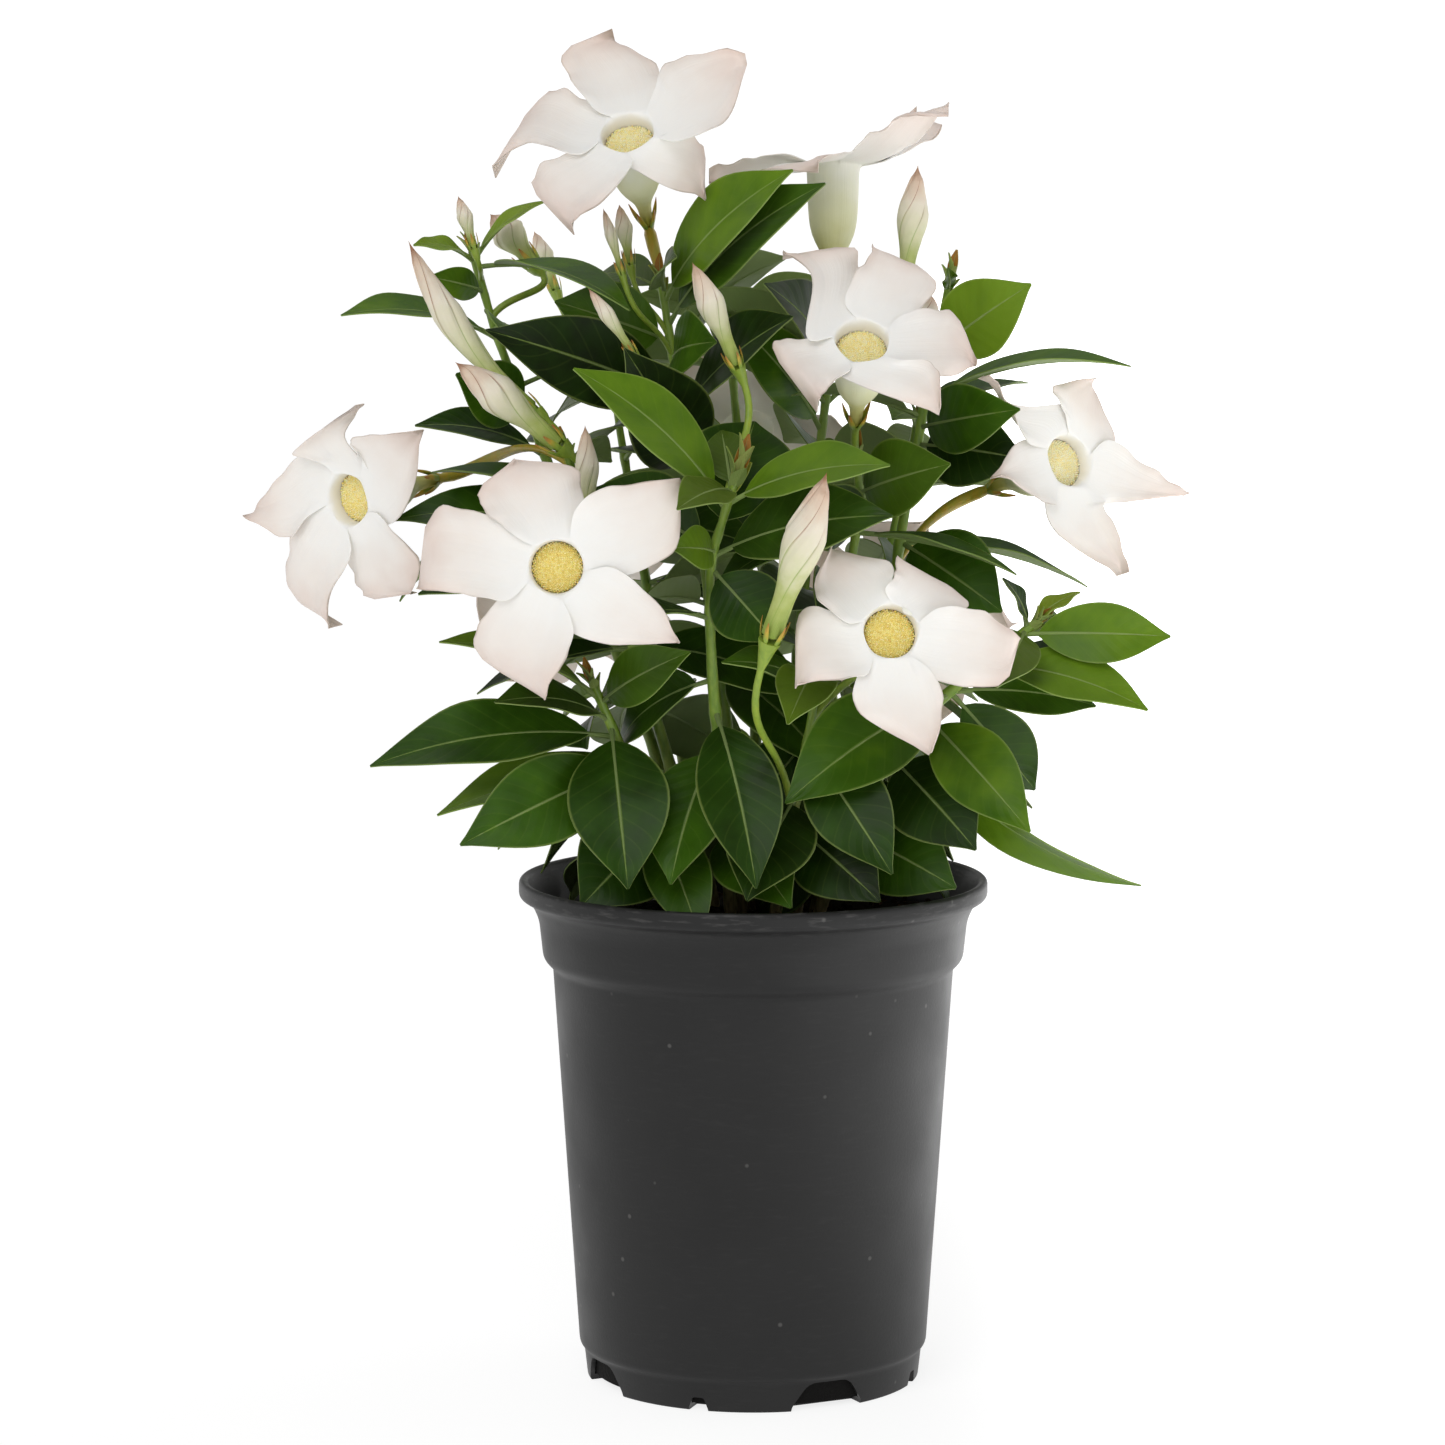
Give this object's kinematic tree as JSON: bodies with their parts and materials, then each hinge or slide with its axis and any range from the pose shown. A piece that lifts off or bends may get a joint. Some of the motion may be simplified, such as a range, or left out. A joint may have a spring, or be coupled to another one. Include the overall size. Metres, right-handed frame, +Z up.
{
  "type": "potted dipladenia",
  "caption": "Potted flowering vine in bush form: leafy stems with open white trumpet blooms and furled buds, standing in a filled round nursery pot with a flared lip.",
  "frame": {"origin": "centre of the pot's flat underside", "axes": "+Z up along the pot's axis and the plant, -Y towards the viewer of the picture, +X to the right"},
  "size_m": [0.3314, 0.2449, 0.473],
  "materials": {
    "pot": "blown polyethylene, charcoal black, satin, with light scuffs and dust",
    "potting_mix": "dark peat and bark potting mix, dry and crumbly",
    "foliage": "glossy dark green leaves with paler midribs, on smooth yellow-green stems",
    "petals": "soft white petals blushed pink towards their tips, yellow in the throat",
    "anthers": "matt yellow anthers on a pale style",
    "buds": "cream furled petals, green at the foot, with brown slits near the tip"
  },
  "bodies": {
    "root": {"anthers_back_crown": "anthers", "anthers_back_left": "anthers", "anthers_back_right": "anthers", "anthers_crown_left": "anthers", "anthers_crown_right": "anthers", "anthers_front_left": "anthers", "anthers_front_right": "anthers", "anthers_left": "anthers", "anthers_right": "anthers", "anthers_upper_right": "anthers", "bloom_back_crown": "petals", "bloom_back_left": "petals", "bloom_back_right": "petals", "bloom_crown_left": "petals", "bloom_crown_right": "petals", "bloom_front_left": "petals", "bloom_front_right": "petals", "bloom_left": "petals", "bloom_right": "petals", "bloom_upper_right": "petals", "bud_back_left": "buds", "bud_back_low": "buds", "bud_back_right": "buds", "bud_behind_front_left": "buds", "bud_centre": "buds", "bud_crown_pair_left": "buds", "bud_crown_pair_right": "buds", "bud_crown_right": "buds", "bud_half_open_left": "buds", "bud_long_left": "buds", "bud_pale_left": "buds", "bud_small_top": "buds", "bud_tall_front": "buds", "bud_upper_left": "buds", "pot": "pot", "potting_mix": "potting_mix", "stem_back": "foliage", "stem_back_left": "foliage", "stem_back_right": "foliage", "stem_front": "foliage", "stem_front_right": "foliage", "stem_left": "foliage", "stem_low_left": "foliage", "stem_low_right": "foliage", "stem_right": "foliage", "stem_right_upper": "foliage", "stem_top": "foliage", "stem_top_right": "foliage", "stem_upper_left": "foliage"}
  },
  "joints": []
}
